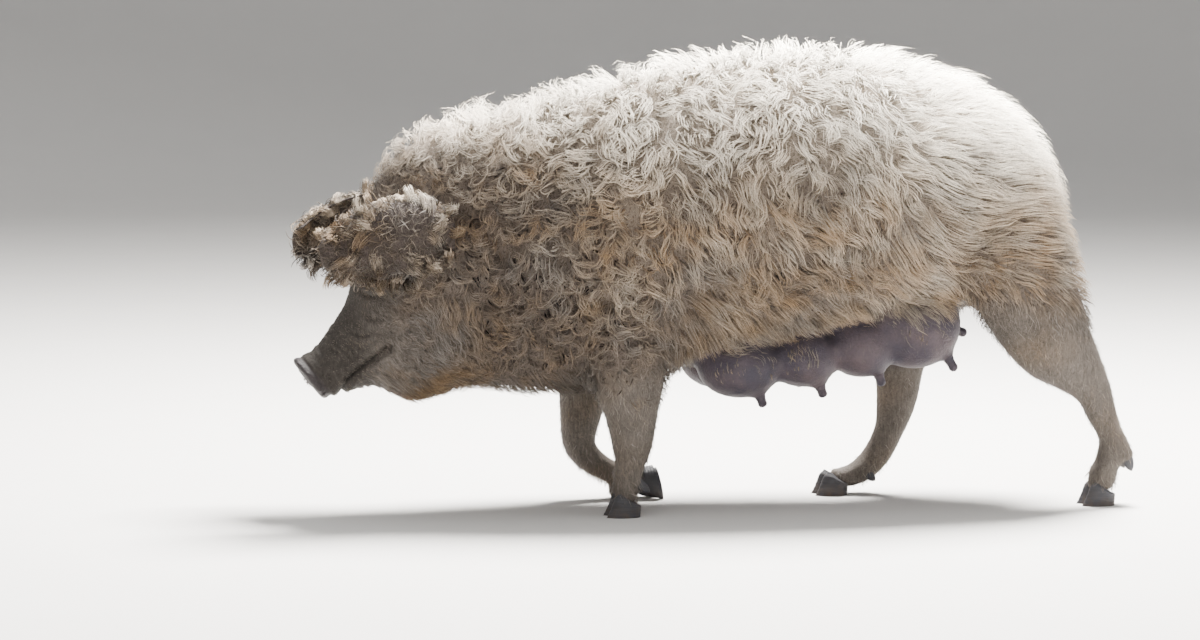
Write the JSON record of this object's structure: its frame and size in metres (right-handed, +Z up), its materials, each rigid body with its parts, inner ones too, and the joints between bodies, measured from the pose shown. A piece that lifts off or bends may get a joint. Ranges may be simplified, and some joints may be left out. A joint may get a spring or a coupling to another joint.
{
  "type": "mangalica pig",
  "caption": "Life-size still model of a curly-coated mangalica sow walking with her head low and her lop ears over her eyes.",
  "frame": {"origin": "on the floor, under the middle of the whole model's box", "axes": "+X from the snout towards the rump, +Y towards the sow's right side, +Z up"},
  "size_m": [1.505, 0.5078, 0.852],
  "materials": {
    "fleece": "curly blond coat",
    "short_hair": "short grey-brown hair",
    "ear_hair": "tight curls",
    "snout_skin": "matte grey skin",
    "udder_skin": "soft purple-grey skin",
    "horn": "worn dark horn",
    "eye": "wet dark eye"
  },
  "bodies": {
    "root": {"snout": "snout_skin", "head": "short_hair", "neck": "fleece", "chest": "fleece", "belly": "fleece", "rump": "fleece", "udder": "udder_skin", "tail": "fleece", "ear_left": "ear_hair", "ear_right": "ear_hair", "eye_left": "eye", "eye_right": "eye", "leg_front_left": "short_hair", "claw_front_left_a": "horn", "dewclaw_front_left_a": "horn", "claw_front_left_b": "horn", "dewclaw_front_left_b": "horn", "leg_front_right": "short_hair", "claw_front_right_a": "horn", "dewclaw_front_right_a": "horn", "claw_front_right_b": "horn", "dewclaw_front_right_b": "horn", "leg_hind_left": "short_hair", "claw_hind_left_a": "horn", "dewclaw_hind_left_a": "horn", "claw_hind_left_b": "horn", "dewclaw_hind_left_b": "horn", "leg_hind_right": "short_hair", "claw_hind_right_a": "horn", "dewclaw_hind_right_a": "horn", "claw_hind_right_b": "horn", "dewclaw_hind_right_b": "horn"}
  },
  "joints": []
}
